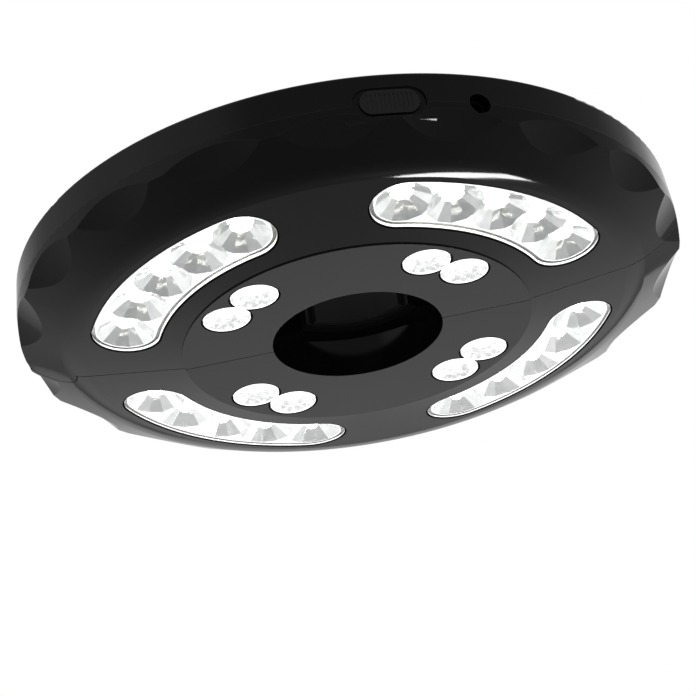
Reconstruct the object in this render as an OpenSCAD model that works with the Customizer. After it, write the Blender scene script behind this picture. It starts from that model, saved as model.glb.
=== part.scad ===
// Clamp-on umbrella light: two hinged half discs that close round a pole.
// +Z runs along the pole towards the canopy, the lamps look down along -Z.
// z = 0 is the flat underside of the hub, and the seam lies on the X axis.
// The near half (-Y) carries the switch and the charging socket.

/* [Body] */
// Outer diameter of the closed disc
body_d = 212.2; // [210:0.2:216]
// Diameter of the hole the pole passes through
bore_d = 54.5; // [53:0.5:56]
// Diameter of the flat hub plate on the underside
hub_d = 112; // [111:0.5:114]
// Height of the parting line between lower shell and top cover
part_z = 19; // [18.8:0.1:19.4]
// Height of the rim's top edge
rim_z = 30.1; // [29.8:0.05:31]
// How far the rim leans in above the parting line
rim_draft = 0.9; // [0.5:0.1:1]
// Radius of the edge round the rim's top
top_fillet = 1.5; // [1:0.1:1.8]
// Height of the raised centre of the top
top_z = 36; // [35.8:0.1:38]
// Diameter of the raised centre of the top
crown_d = 109; // [108:0.5:110]
// Thickness of the moulded walls
wall = 2; // [1.8:0.1:2.2]
// Gap between the two closed halves
seam_gap = 0.3; // [0.2:0.05:0.6]

/* [Underside] */
// Height of the fine step round the hub plate
hub_step = 0.45; // [0.2:0.05:0.8]
// Slope of the shallow cone outside the hub plate
cone_a = 7.7; // [7.4:0.1:8]
// Width of the cone outside the curved windows
cone_land = 1.75; // [1.6:0.05:2]
// Radius of the bend between the cone and the shoulder
bend_r = 22; // [18:1:26]
// Height where the shoulder meets the upright rim
corner_z = 13.65; // [13.4:0.05:13.9]

/* [Scallops] */
// Number of scallops round the rim
scallop_n = 18; // [18:2:18]
// Height of each scallop's arch on the rim
scallop_top_z = 16.9; // [16.6:0.1:17.2]
// How far each scallop reaches in from the rim
scallop_in = 7.1; // [6.8:0.1:7.3]
// Height of its lower edge
scallop_low_z = 9.75; // [9.7:0.05:9.9]
// Radius of its hollow face
scallop_r = 88; // [84:1:96]
// Wall left behind it
scallop_wall = 1.5; // [1.3:0.1:1.7]

/* [Lamp windows] */
// Mid radius of the four curved windows
window_r = 74; // [73.6:0.1:74.4]
// Width of a curved window
window_w = 21.5; // [21.2:0.1:21.8]
// Reflector cups in each window
cup_n = 5; // [5:1:5]
// Angle between neighbouring cups
cup_pitch = 12.7; // [12.5:0.05:12.8]
// Radius of a cup's mouth
cup_mouth_r = 8.1; // [7.8:0.05:8.2]
// Radius of a cup's floor round its lamp
cup_floor_r = 3.3; // [3.1:0.1:3.6]
// Petals round a cup
cup_petals = 16; // [12:2:18]
// Depth of the crease between two petals at the mouth
petal_depth = 0.5; // [0.3:0.05:0.7]
// Distance of the twin windows' lamps from the pole axis
twin_r = 46.3; // [46:0.1:46.8]
// Half the angle between the two lamps of a twin window
twin_a = 9.28; // [9:0.02:9.5]
// Diameter of each lobe of a twin window
twin_d = 15.5; // [15:0.1:16]
// Gap round a lens in its window
lens_gap = 0.2; // [0.1:0.05:0.3]
// How far a lens lies below the surface round it
lens_sunk = 0.3; // [0.1:0.05:0.5]
// Width of a lens's hidden rim
lens_lip = 1.5; // [1:0.1:1.7]
// Thickness of a lens's hidden rim
lens_lip_t = 1; // [0.8:0.1:1.1]
// Thickness of a lens's clear face
lens_t = 1.4; // [1.2:0.1:1.6]
// Thickness of the wall that joins a lens's face to its rim
lens_side_t = 1.2; // [1:0.1:1.3]

/* [Lamps and boards] */
// Height of the lamp boards
board_z = 9.6; // [9.4:0.1:9.9]
// Thickness of the circuit boards
board_t = 1.2; // [1:0.1:1.4]
// Outer radius of a lamp board
board_out_r = 88; // [87.5:0.1:88.3]
// Inner radius of a lamp board
board_in_r = 33; // [32:0.5:34]
// Diameter of a lamp's dome
lamp_d = 5; // [4.6:0.1:5]
// Diameter of the flange round its foot
lamp_flange_d = 5.8; // [5.4:0.1:5.8]
// Height of a lamp
lamp_h = 3; // [2.8:0.1:3.1]

/* [Pole clamp] */
// Diameter of the pole held at rest
pole_d = 42; // [40:0.5:43]
// Width of a jaw
jaw_w = 38; // [36:0.5:39]
// Height of a jaw
jaw_h = 14; // [12:0.5:14]
// Height of a jaw's underside
jaw_z = 16; // [15.8:0.1:16.2]
// Thickness of its rubber pad
pad_t = 2; // [1.5:0.25:2.5]
// Half the angle that a pad covers
pad_a = 40; // [34:1:42]
// Distance from the pole axis to a jaw's back
jaw_back = 34; // [33.5:0.25:34.5]
// Distance from the pole axis to the wall behind the jaw springs
spring_wall = 50.5; // [50:0.25:51]
// Wire diameter of a jaw spring
spring_wire = 0.8; // [0.6:0.05:1]
// Mean coil diameter of a jaw spring
spring_d = 6.8; // [6.4:0.1:7.4]
// Turns of a jaw spring
spring_turns = 6; // [5:1:8]
// Sideways distance of a jaw spring from the middle
spring_x = 9; // [8:0.5:11]

/* [Hinge and catch] */
// Radius of the hinge knuckles
knuckle_r = 7.5; // [7.3:0.1:7.6]
// How far the knuckles stay inside the rim
knuckle_inset = 0.1; // [0.1:0.05:0.3]
// Free space round a knuckle
knuckle_gap = 0.35; // [0.3:0.05:0.4]
// Height where the middle knuckle begins
knuckle_z1 = 14; // [13.9:0.1:14.3]
// Height where the top knuckle begins
knuckle_z2 = 24.2; // [23.8:0.1:24.6]
// Gap between stacked knuckles
knuckle_play = 0.15; // [0.1:0.05:0.25]
// Diameter of the hinge pin
pin_d = 4; // [3:0.1:4.6]
// Length of the hinge pin
pin_len = 17.4; // [17:0.1:17.6]
// Radial clearance of the hinge pin in the turning knuckle
pin_fit = 0.05; // [0.02:0.01:0.1]
// Opening angle of the hinge
open_a = 40; // [30:1:40]
// How far in from the rim the catch arm stands
catch_in = 14; // [13.8:0.1:14.4]
// Thickness of the catch arm
catch_t = 1.6; // [1.2:0.1:1.8]
// How far the catch's barb hooks behind the wall
catch_hook = 1.1; // [0.8:0.1:1.3]

/* [Switch and socket] */
// Angle of the push button round the rim
button_a = -75; // [-75.5:0.1:-74.5]
// Height of its centre
button_z = 19.65; // [19.5:0.05:19.8]
// Length of the button
button_l = 18; // [17:0.25:18.5]
// Height of the button's face
button_h = 8; // [7.5:0.1:8.4]
// Travel of the button
button_travel = 0.5; // [0.3:0.05:0.6]
// Free space round the button
button_gap = 0.2; // [0.15:0.05:0.3]
// Width of the recess's rim round the button
recess_w = 2.3; // [1.5:0.1:2.4]
// Depth of the recess
recess_depth = 1.1; // [0.8:0.05:1.2]
// Grip ribs across the button
rib_n = 11; // [7:2:13]
// Angle of the charging socket round the rim
jack_a = -60; // [-60.5:0.1:-59]
// Diameter of its hole in the rim
jack_hole_d = 6.8; // [6.4:0.1:7.2]
// Bore of the socket for the plug
jack_bore_d = 6; // [5.8:0.1:6.2]
// Diameter of the socket's centre pin
jack_pin_d = 2; // [1.9:0.1:2.4]

/* [Battery compartment] */
// Diameter of a cell
cell_d = 14.5; // [14:0.1:14.5]
// Length of a cell
cell_l = 50.2; // [49.5:0.1:50.5]
// Sideways place of the compartment's middle
bay_x = -8; // [-8.5:0.25:-8]
// Distance from the rim in to the compartment's inner side
bay_in = 49.2; // [48.8:0.1:49.2]
// Space round a cell
cell_gap = 0.25; // [0.2:0.05:0.3]
// Space for the contacts at each end
contact_room = 3.2; // [2.8:0.1:3.3]
// Thickness of the compartment's walls
bay_wall = 1.5; // [1.3:0.1:1.6]
// Width of the ledge the door lies on
door_ledge = 1.7; // [1.5:0.1:1.8]
// Thickness of the door
door_t = 1.5; // [1.3:0.1:1.6]
// Gap round the door
door_gap = 0.2; // [0.15:0.05:0.3]

/* [Hanging hooks] */
// Outer radius of a hook's ring
hook_r = 7.6; // [7:0.1:7.8]
// Width of the hook's bar
hook_bar = 2.7; // [2.2:0.1:3]
// Thickness of the hook
hook_t = 3; // [2.6:0.1:3]
// Distance from the pole axis to the hook's pivot
hook_pivot_y = 48.2; // [48:0.1:48.4]
// Distance from the pivot to the middle of the ring
hook_reach = 9.6; // [9.4:0.1:9.8]
// Diameter of the hook's pivot pins
hook_pin_d = 2.4; // [2:0.1:2.6]
// Radial clearance of the pivot pins
hook_fit = 0.05; // [0.02:0.01:0.1]
// Angle of the opening in the ring
hook_mouth_a = 62; // [50:1:70]

/* [Screws] */
// Shank diameter of the case screws
screw_d = 3; // [2.5:0.1:3.2]
// Head diameter of the case screws
screw_head_d = 5.6; // [5:0.1:5.8]
// Length of the case screws
screw_len = 14; // [10:0.5:16]
// Outer diameter of a screw post
post_d = 6.6; // [6.2:0.1:7]

/* [Hidden] */
$fn = 120;

shell_colour = [0.09, 0.09, 0.10];
lens_colour = [0.85, 0.92, 0.95, 0.5];
steel_colour = [0.75, 0.76, 0.78];
board_colour = [0.85, 0.87, 0.84];

body_r = body_d / 2;
bore_r = bore_d / 2;
hub_r = hub_d / 2;
crown_r = crown_d / 2;
crown_slope = 1.3;
far = 300;
eps = 0.01;

// The shoulder leaves the cone in a bend, then runs straight to the rim's foot.
cone_r = window_r + window_w / 2 + cone_land;
cone_z = hub_step + (cone_r - hub_r) * tan(cone_a);
bend_mid = [cone_r, cone_z] + bend_r * [-sin(cone_a), cos(cone_a)];
bend_reach = [body_r, corner_z] - bend_mid;
shoulder_a = atan2(bend_reach[1], bend_reach[0]) - acos(bend_r / norm(bend_reach)) + 90;
bend_end = bend_mid + bend_r * [sin(shoulder_a), -cos(shoulder_a)];
bend_tip = bend_r * tan((shoulder_a - cone_a) / 2);
bend_corner = [cone_r, cone_z] + bend_tip * [cos(cone_a), sin(cone_a)];

// A scallop's middle line in the radial plane, and that line moved in by its wall.
scallop_foot = [body_r - scallop_in, scallop_low_z];
scallop_head = [body_r, scallop_top_z];
scallop_dir = (scallop_head - scallop_foot) / norm(scallop_head - scallop_foot);
scallop_inward = [-scallop_dir[1], scallop_dir[0]];
scallop_back = scallop_foot + scallop_wall * scallop_inward;
scallop_tilt = atan2(scallop_dir[0], scallop_dir[1]);
scallop_step = 360 / scallop_n;

window_half = window_w / 2;
window_end_a = cup_pitch * (cup_n - 1) / 2;
window_angles = [-135, -45, 45, 135];

seam_y = seam_gap / 2;
cover_under_z = rim_z - wall;
crown_under_z = top_z - wall;
inner_r = body_r - wall;
rim_top_r = body_r - rim_draft;

hinge_x = -(body_r - knuckle_r - knuckle_inset);
pin_z = top_z - 6.8 - pin_len;
relief_r = knuckle_r + knuckle_gap;
sleeve_r = relief_r + 1.75;
// The relieved half ends this far round the knuckle, so it can swing past the other.
trim_a = 180 - open_a + 10;

pole_r = pole_d / 2;
jaw_top = jaw_z + jaw_h;
jaw_gap = 0.1;
rail_t = 2;
rail_x = jaw_w / 2 + jaw_gap + 0.1;
lip_w = 3.7;
jaw_mid_z = jaw_z + jaw_h / 2;

bay_y = body_r - bay_in;
bay_half = cell_l / 2 + contact_room;
bay_depth = 2 * cell_d + 3 * cell_gap;
door_z = rim_z - door_t;
cell_top = door_z - 0.7;
cell_z = cell_top - cell_d / 2;
bay_floor = cell_top - cell_d - cell_gap;
cell_ys = [bay_y + cell_gap + cell_d / 2, bay_y + 2 * cell_gap + 1.5 * cell_d];

hook_z = top_z - 0.3 - hook_t / 2;
hook_floor = hook_z - hook_t / 2 - 0.3;
hook_half = hook_r + 1.7;
hook_end_y = hook_pivot_y - hook_reach - hook_r - 0.8;
hook_back_y = hook_pivot_y + 2.2;

rim_post_r = body_r - 8;
rim_posts = [-22, -90, -158];
crown_posts = [[38, -9.5], [-38, -9.5]];
board_posts = [[74.5, -8.6], [-74.5, -8.6]];
board_rest = [0, -72.5];
board_post_d = 5;

catch_x = body_r - catch_in;
catch_z = 12.2;
catch_h = 5.2;
catch_base = [6.5, 8, 6.2];

boss_face_r = inner_r - 1.7;
boss_gap = 0.1;
button_flange_r = boss_face_r - 0.1;
button_back_r = button_flange_r - 1.1;
button_tip_r = body_r - 0.35;
button_lip = 1;
plunger_r = 1.6;
plunger_len = 1.6;
plunger_fit = 0.06;
switch_r = inner_r - 10.6;
switch_board_h = 10.8;
switch_board_w = 12;
switch_floor = button_z - switch_board_h / 2;
switch_t = button_back_r - button_travel - 0.4 - (switch_r + board_t);

jack_front_r = inner_r - 4.1;
jack_back_r = jack_front_r - 12;
jack_half_w = 4.6;
jack_half_h = 5.2;
jack_low_z = part_z - jack_half_h;
jack_nose_d = jack_bore_d + 1.6;
jack_nose_r = inner_r - 2.3;

contact_t = 0.4;
contact_w = 11;

control_size = [32, 22];
control_low = [body_r - 62.1, -10 - control_size[1]];
control_rise = 1.8;
control_foot = 3;

// ---- frame helpers -------------------------------------------------------

// Turns a piece of the near half into its twin on the far half.
module opposite() {
    rotate([0, 0, 180]) children();
}

// Puts a piece drawn with +X pointing outwards at an angle round the pole axis.
module at_angle(a, r = 0, z = 0) {
    rotate([0, 0, a]) translate([r, 0, z]) children();
}

// Everything on the near side of the seam, further than y from it.
module near_side(y) {
    translate([-far, -2 * far - y, -far]) cube([2 * far, 2 * far, 2 * far]);
}

// A box given by its low and high corners.
module block(low, high) {
    translate(low) cube(high - low);
}

// A prism with rounded ends, long in Y and standing out along X.
module stadium(len, height, depth) {
    rotate([90, 0, 90]) linear_extrude(depth) stadium_2d(len, height);
}

module stadium_2d(len, height) {
    square([len - height, height], center = true);
    for (s = [-1, 1]) translate([s * (len - height) / 2, 0]) circle(d = height);
}

// ---- body profiles: r across, z up -----------------------------------------

function under_z(r) = hub_step + (r - hub_r) * tan(cone_a);

// The outside of the lower shell. The bend's circle is a hair larger, so it crosses both lines.
module under_profile(top) {
    difference() {
        polygon([
            [bore_r, 0], [hub_r, 0], [hub_r, hub_step], bend_corner,
            [body_r, corner_z], [body_r, top], [bore_r, top]
        ]);
        difference() {
            polygon([[cone_r, cone_z], bend_corner + [0.5, -1.5], bend_end]);
            translate(bend_mid) circle(r = bend_r + eps, $fn = 180);
        }
    }
}

// Its hollow, thicker behind the scallops.
module under_hollow(top) {
    run = (inner_r - scallop_back[0]) / scallop_dir[0];
    polygon([
        [bore_r + wall, wall], [hub_r - 0.5, wall], [hub_r, wall + hub_step], [cone_r, cone_z + wall],
        scallop_back, scallop_back + run * scallop_dir,
        [inner_r, top], [bore_r + wall, top]
    ]);
}

// The outside of the top cover.
module cover_profile() {
    difference() {
        polygon([
            [bore_r, part_z], [body_r, part_z], [rim_top_r, rim_z - top_fillet], [rim_top_r, rim_z],
            [crown_r, rim_z], [crown_r - crown_slope, top_z], [bore_r, top_z]
        ]);
        translate([rim_top_r - top_fillet, rim_z - top_fillet]) difference() {
            square(top_fillet + 1);
            circle(r = top_fillet, $fn = 60);
        }
        translate([bore_r, top_z - 1]) polygon([[-1, -1], [-1, 2], [1, 2], [1, 1]]);
    }
}

module cover_hollow() {
    polygon([
        [bore_r + wall, part_z - 1], [inner_r, part_z - 1], [inner_r, part_z],
        [rim_top_r - wall, cover_under_z - 1], [rim_top_r - wall - 1, cover_under_z],
        [crown_r - wall, cover_under_z],
        [crown_r - wall - crown_slope, crown_under_z], [bore_r + wall, crown_under_z]
    ]);
}

// Half of the body turned from a profile, on the near side of y.
module half_turned(y) {
    intersection() {
        rotate([0, 0, 180]) rotate_extrude(angle = 180) children();
        near_side(y);
    }
}

// ---- windows ------------------------------------------------------------------

// A curved window's outline, centred on +X.
module arc_window_2d(grow = 0) {
    half = window_half + grow;
    reach = 2 * body_r;
    intersection() {
        difference() {
            circle(r = window_r + half, $fn = 240);
            circle(r = window_r - half, $fn = 240);
        }
        polygon([
            [0, 0], reach * [cos(window_end_a), -sin(window_end_a)],
            reach * [cos(window_end_a), sin(window_end_a)]
        ]);
    }
    // The round ends are a hair smaller, so they cross the long sides instead of just touching them.
    for (s = [-1, 1]) rotate(s * window_end_a) translate([window_r, 0]) circle(r = half - eps, $fn = 60);
}

// A twin window's figure-of-eight outline, centred on +X.
module twin_window_2d(grow = 0) {
    for (s = [-1, 1]) rotate(s * twin_a) translate([twin_r, 0]) circle(d = twin_d + 2 * grow, $fn = 72);
}

// A ring that follows the underside's cone, between two heights above it.
module cone_band(low, high) {
    r1 = window_r - window_half - 2 * lens_lip;
    r2 = window_r + window_half + 2 * lens_lip;
    rotate_extrude() polygon([
        [r1, under_z(r1) + low], [r2, under_z(r2) + low],
        [r2, under_z(r2) + high], [r1, under_z(r1) + high]
    ]);
}

module scallop_cut() {
    translate([
        scallop_foot[0] - scallop_r * scallop_inward[0], 0,
        scallop_foot[1] - scallop_r * scallop_inward[1]
    ])
        rotate([0, scallop_tilt, 0]) cylinder(r = scallop_r, h = 56, center = true, $fn = 240);
}

// ---- hinge ----------------------------------------------------------------------

// A cylinder on the hinge axis between two heights.
module on_hinge(r, z1, z2) {
    translate([hinge_x, 0, z1]) cylinder(r = r, h = z2 - z1, $fn = 96);
}

// The wedge that the relieved half gives up, on the side of the seam that s points to.
module hinge_trim(s, z1, z2) {
    reach = 14;
    a = s * trim_a;
    b = 180 - s * 6;
    translate([hinge_x, 0, z1]) linear_extrude(z2 - z1)
        polygon([[0, 0], reach * [cos(a), sin(a)], reach * [cos(b), sin(b)]]);
}

// Where a half makes room for the other half's knuckle.
module hinge_relief(s, z1, z2) {
    on_hinge(relief_r, z1, z2);
    hinge_trim(s, z1, z2);
}

// ---- lower shells ------------------------------------------------------------------

// A screw post that grows from the shell up to a height.
module shell_post(d, z) {
    cylinder(d = d, h = z, $fn = 48);
}

module shell_posts() {
    intersection() {
        half_turned(seam_y) under_profile(top_z);
        union() {
            for (a = rim_posts) at_angle(a, rim_post_r) shell_post(post_d, cover_under_z);
            for (p = crown_posts) translate(p) shell_post(post_d, crown_under_z);
            for (p = concat(board_posts, [board_rest])) translate(p) shell_post(board_post_d, board_z);
        }
    }
}

module post_holes() {
    pilot = screw_d + 0.1;
    for (a = rim_posts)
        at_angle(a, rim_post_r, cover_under_z - screw_len) cylinder(d = pilot, h = screw_len + 1, $fn = 36);
    for (p = crown_posts)
        translate([p[0], p[1], crown_under_z - screw_len]) cylinder(d = pilot, h = screw_len + 1, $fn = 36);
    for (p = board_posts)
        translate([p[0], p[1], board_z - 4.5]) cylinder(d = 1.9, h = 5, $fn = 24);
}

// The window that a jaw moves through.
module jaw_window() {
    block([-rail_x - 0.2, -bore_r - wall - 1, jaw_z - 0.2], [rail_x + 0.2, -bore_r / 2, jaw_top + 0.2]);
}

// A lower half shell without its hinge, catch, switch and socket.
module plain_lower_shell() {
    difference() {
        union() {
            difference() {
                half_turned(seam_y) under_profile(part_z);
                half_turned(seam_y + wall) under_hollow(part_z + 1);
            }
            shell_posts();
        }
        for (k = [0 : scallop_n / 2]) rotate([0, 0, -185 + k * scallop_step]) scallop_cut();
        for (a = [-135, -45]) rotate([0, 0, a]) translate([0, 0, -1]) {
            linear_extrude(cone_z + wall + 2) arc_window_2d();
            linear_extrude(wall + 2) twin_window_2d();
        }
        post_holes();
        jaw_window();
    }
}

// A closed sleeve round the other half's knuckle, inside the shell.
module lower_sleeve() {
    intersection() {
        half_turned(seam_y) under_profile(part_z);
        on_hinge(sleeve_r, 0, part_z);
    }
}

// A knuckle with the outline of the lower body.
module lower_knuckle(z1, z2) {
    intersection() {
        rotate_extrude() under_profile(part_z);
        on_hinge(knuckle_r, z1, z2);
    }
}

// The slot that the lamp lead passes through beside the hinge.
module lead_slot() {
    block([hinge_x + 11, -wall - 1, board_z + board_t], [hinge_x + 16, wall + 1, board_z + board_t + 3.8]);
}

// The slot that the catch passes through.
module catch_slot() {
    block([catch_x - 1.4, -wall - 1, catch_z - 0.6],
          [catch_x + catch_t + 0.5, wall + 1, catch_z + catch_h + 0.5]);
}

module button_recess() {
    at_angle(button_a, 0, button_z) difference() {
        translate([inner_r - 6, 0, 0]) stadium(button_l + 2 * recess_w, button_h + 2.2, 20);
        cylinder(r = body_r - recess_depth, h = 40, center = true, $fn = 240);
    }
}

module button_hole() {
    at_angle(button_a, inner_r - 8, button_z)
        stadium(button_l + 2 * button_gap, button_h + 2 * button_gap, 20);
}

// Thick wall behind the button's recess, between two heights.
module button_boss(z1, z2) {
    boss_half = button_l / 2 + recess_w + 2.2;
    intersection() {
        difference() {
            at_angle(button_a) block([boss_face_r - 3, -boss_half, z1], [body_r, boss_half, z2]);
            translate([0, 0, z1 - 1]) cylinder(r = boss_face_r, h = z2 - z1 + 2);
        }
        translate([0, 0, z1 - 1]) cylinder(r = inner_r + wall / 4, h = z2 - z1 + 2);
    }
}

// Room for the button's lip behind the recess, where the scallops thicken the wall.
module button_pocket() {
    at_angle(button_a, 0, button_z) intersection() {
        translate([button_back_r - 4, 0, 0])
            stadium(button_l + 2 * button_lip + 0.6, button_h + 2 * button_lip + 0.6, 10);
        cylinder(r = boss_face_r + 0.1, h = 30, center = true);
    }
}

module jack_hole() {
    at_angle(jack_a, inner_r - 2, part_z) rotate([0, 90, 0]) cylinder(d = jack_hole_d, h = 12, $fn = 60);
}

// The bracket that the switch's little board stands in.
module switch_bracket() {
    board_half = switch_board_w / 2 + 0.1;
    bracket_half = board_half + 1.9;
    at_angle(button_a) difference() {
        block([switch_r - 0.8, -bracket_half, cone_z], [switch_r + 4.2, bracket_half, far]);
        block([switch_r - 0.1, -board_half, switch_floor], [switch_r + board_t + 0.1, board_half, far]);
        block([switch_r - 1, -board_half + 1.5, switch_floor], [switch_r + 5, board_half - 1.5, far]);
    }
}

module jack_saddle() {
    at_angle(jack_a) block([jack_back_r + 3, -4, cone_z], [jack_front_r - 1, 4, jack_low_z]);
}

module catch_post() {
    intersection() {
        block([catch_x - 2.2, 3.2, cone_z], [catch_x + 5.5, 13.2, catch_z - 0.5]);
        rotate_extrude() under_profile(part_z);
    }
}

module lower_shell_a() {
    color(shell_colour) difference() {
        union() {
            plain_lower_shell();
            lower_sleeve();
            intersection() {
                half_turned(seam_y) under_profile(part_z);
                union() {
                    button_boss(scallop_top_z - 3, part_z - boss_gap);
                    switch_bracket();
                    jack_saddle();
                }
            }
            lower_knuckle(0, knuckle_z1 - knuckle_play);
        }
        hinge_relief(-1, knuckle_z1 - knuckle_play, part_z + 1);
        translate([hinge_x, 0, pin_z]) cylinder(d = pin_d + 0.02, h = far, $fn = 48);
        button_recess();
        button_hole();
        button_pocket();
        jack_hole();
        lead_slot();
        catch_slot();
    }
}

module lower_shell_b() {
    color(shell_colour) difference() {
        union() {
            opposite() plain_lower_shell();
            opposite() mirror([1, 0, 0]) lower_sleeve();
            catch_post();
            lower_knuckle(knuckle_z1, part_z);
        }
        hinge_relief(1, -1, knuckle_z1);
        translate([hinge_x, 0, pin_z]) cylinder(r = pin_d / 2 + pin_fit, h = far, $fn = 48);
        lead_slot();
        catch_slot();
    }
}

// ---- top covers --------------------------------------------------------------------

// The battery compartment's box, open at the top.
module bay_box(grow, z1, z2) {
    block([bay_x - bay_half - grow, -bay_y - bay_depth - grow, z1],
          [bay_x + bay_half + grow, -bay_y + grow, z2]);
}

// Guides for a jaw: two rails with lips under it, ribs over it and a wall behind its springs.
module jaw_guides() {
    for (s = [0, 1]) mirror([s, 0, 0]) {
        block(
            [rail_x, -spring_wall - 1.5, jaw_z - 1.7],
            [rail_x + rail_t, -bore_r - 1.5, crown_under_z + 0.5]
        );
        block(
            [rail_x - lip_w, -spring_wall - 1.5, jaw_z - 1.7],
            [rail_x + rail_t, -bore_r - 1.5, jaw_z - jaw_gap]
        );
        block(
            [rail_x - lip_w, -spring_wall - 1.5, jaw_top + jaw_gap],
            [rail_x + rail_t, -bore_r - 1.5, crown_under_z + 0.5]
        );
        translate([spring_x, -spring_wall - 0.5, jaw_mid_z])
            rotate([-90, 0, 0]) cylinder(d = spring_d - spring_wire - 1.4, h = 3.5, $fn = 36);
    }
    block([-rail_x, -spring_wall - 1.5, jaw_z - 1.7], [rail_x, -spring_wall, crown_under_z + 0.5]);
}

module hook_pocket(grow, z1, z2) {
    block([-hook_half - grow, -hook_back_y - grow, z1], [hook_half + grow, -hook_end_y + grow, z2]);
}

// A top cover without its hinge knuckles, switch and socket.
module plain_top_cover() {
    difference() {
        union() {
            difference() {
                half_turned(seam_y) cover_profile();
                half_turned(seam_y + wall) cover_hollow();
            }
            bay_box(bay_wall, bay_floor - bay_wall, door_z);
            bay_box(door_ledge + 1.5, door_z - 2, door_z);
            intersection() {
                union() {
                    jaw_guides();
                    hook_pocket(wall, hook_floor - wall, crown_under_z + 0.5);
                }
                union() {
                    half_turned(bore_r / 2) cover_profile();
                    block([-bore_r, -spring_wall - 2, jaw_z - 2], [bore_r, -bore_r - wall / 2, part_z + 1]);
                }
            }
        }
        bay_box(0, bay_floor, far);
        bay_box(door_ledge + door_gap, door_z, far);
        hook_pocket(0, hook_floor, far);
        translate([hook_half, -hook_pivot_y + hook_reach, top_z - 1.2]) cylinder(r = 5, h = 5, $fn = 48);
        translate([-hook_half - wall - 1, -hook_pivot_y, hook_z])
            rotate([0, 90, 0])
                cylinder(r = hook_pin_d / 2 + hook_fit, h = 2 * (hook_half + wall + 1), $fn = 36);
        jaw_window();
        for (a = rim_posts) at_angle(a, rim_post_r, rim_z) screw_seat();
        for (p = crown_posts) translate([p[0], p[1], top_z]) screw_seat();
    }
}

// The hole and the sunk seat for a case screw, below the surface at z = 0.
module screw_seat() {
    translate([0, 0, -wall - 1]) cylinder(d = screw_d + 0.4, h = wall + 2, $fn = 36);
    translate([0, 0, -1]) cylinder(d = screw_head_d + 0.5, h = 2, $fn = 48);
}

module cover_sleeve() {
    intersection() {
        half_turned(seam_y) cover_profile();
        on_hinge(sleeve_r, part_z, rim_z);
    }
}

module cover_knuckle(z1, z2) {
    intersection() {
        rotate_extrude() cover_profile();
        on_hinge(knuckle_r, z1, z2);
    }
}

module top_cover_a() {
    color(shell_colour) difference() {
        union() {
            plain_top_cover();
            cover_sleeve();
            button_boss(part_z + boss_gap, cover_under_z + wall / 4);
            cover_knuckle(knuckle_z2 + knuckle_play, rim_z);
        }
        hinge_relief(-1, part_z - 1, knuckle_z2 + knuckle_play);
        translate([hinge_x, 0, pin_z]) cylinder(d = pin_d + 0.02, h = far, $fn = 48);
        button_recess();
        button_hole();
        jack_hole();
    }
}

module top_cover_b() {
    color(shell_colour) difference() {
        union() {
            opposite() plain_top_cover();
            opposite() mirror([1, 0, 0]) cover_sleeve();
            cover_knuckle(part_z, knuckle_z2);
        }
        hinge_relief(1, knuckle_z2, rim_z + 1);
        translate([hinge_x, 0, pin_z]) cylinder(r = pin_d / 2 + pin_fit, h = far, $fn = 48);
    }
}

// ---- optics ---------------------------------------------------------------------------

// A solid that follows the cone inside an outline, between two heights above it.
module on_cone(low, high) {
    intersection() {
        linear_extrude(board_z) children();
        cone_band(low, high);
    }
}

// A clear face in the window, with a side wall up to a rim that lies on the shell.
module arc_lens(i) {
    top = wall + lens_lip_t;
    color(lens_colour) rotate([0, 0, window_angles[i]]) {
        on_cone(lens_sunk, lens_sunk + lens_t) arc_window_2d(-lens_gap);
        on_cone(lens_sunk, top) difference() {
            arc_window_2d(-lens_gap);
            arc_window_2d(-lens_gap - lens_side_t);
        }
        on_cone(wall, top) difference() {
            arc_window_2d(lens_lip);
            arc_window_2d(-lens_gap - lens_side_t);
        }
    }
}

// A strip of faceted cups, from the lens's face up to the lamp board.
module arc_reflector(i) {
    face = lens_sunk + lens_t + 0.05;
    color([0.9, 0.9, 0.92]) rotate([0, 0, window_angles[i]]) difference() {
        union() {
            on_cone(face, board_z) arc_window_2d(-lens_gap - lens_side_t - 0.15);
            on_cone(wall + lens_lip_t, board_z) arc_window_2d(lens_lip - 0.4);
        }
        for (k = [0 : cup_n - 1]) at_angle((k - (cup_n - 1) / 2) * cup_pitch, window_r) cup(face);
    }
}

// An outline of creased petals.
module petals_2d(radius) {
    polygon([
        for (k = [0 : 2 * cup_petals - 1])
            let (a = k * 180 / cup_petals, r = radius - (k % 2) * petal_depth)
                r * [cos(a), sin(a)]
    ]);
}

// The hollow of one cup: creased petals that close in towards the lamp, then straight sides to the mouth.
module cup(face) {
    mouth_z = under_z(window_r) + face;
    translate([0, 0, mouth_z])
        linear_extrude(board_z - mouth_z + eps, scale = cup_floor_r / cup_mouth_r) petals_2d(cup_mouth_r);
    translate([0, 0, mouth_z - 3]) linear_extrude(3 + eps) petals_2d(cup_mouth_r);
}

// Two clear collimators moulded as one piece, faceted at the back and hollow over their lamps.
module twin_lens(i) {
    top = board_z - 0.3;
    neck = wall + lens_lip_t;
    lamp_room = lamp_flange_d / 2 + 0.2;
    foot_r = twin_d / 2 - 0.6;
    color(lens_colour) rotate([0, 0, window_angles[i]]) {
        difference() {
            union() {
                translate([0, 0, 0.1]) linear_extrude(neck - 0.1) twin_window_2d(-lens_gap);
                translate([0, 0, wall]) linear_extrude(lens_lip_t) twin_window_2d(1.2);
                for (s = [-1, 1]) at_angle(s * twin_a, twin_r, neck - eps)
                    linear_extrude(top - neck + eps, scale = (lamp_room + 1.3) / foot_r) petals_2d(foot_r);
            }
            for (s = [-1, 1]) at_angle(s * twin_a, twin_r, board_z - lamp_h - 0.4)
                cylinder(r = lamp_room, h = 2 * lamp_h, $fn = 36);
        }
    }
}

// ---- lamps and boards -------------------------------------------------------------------

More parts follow.
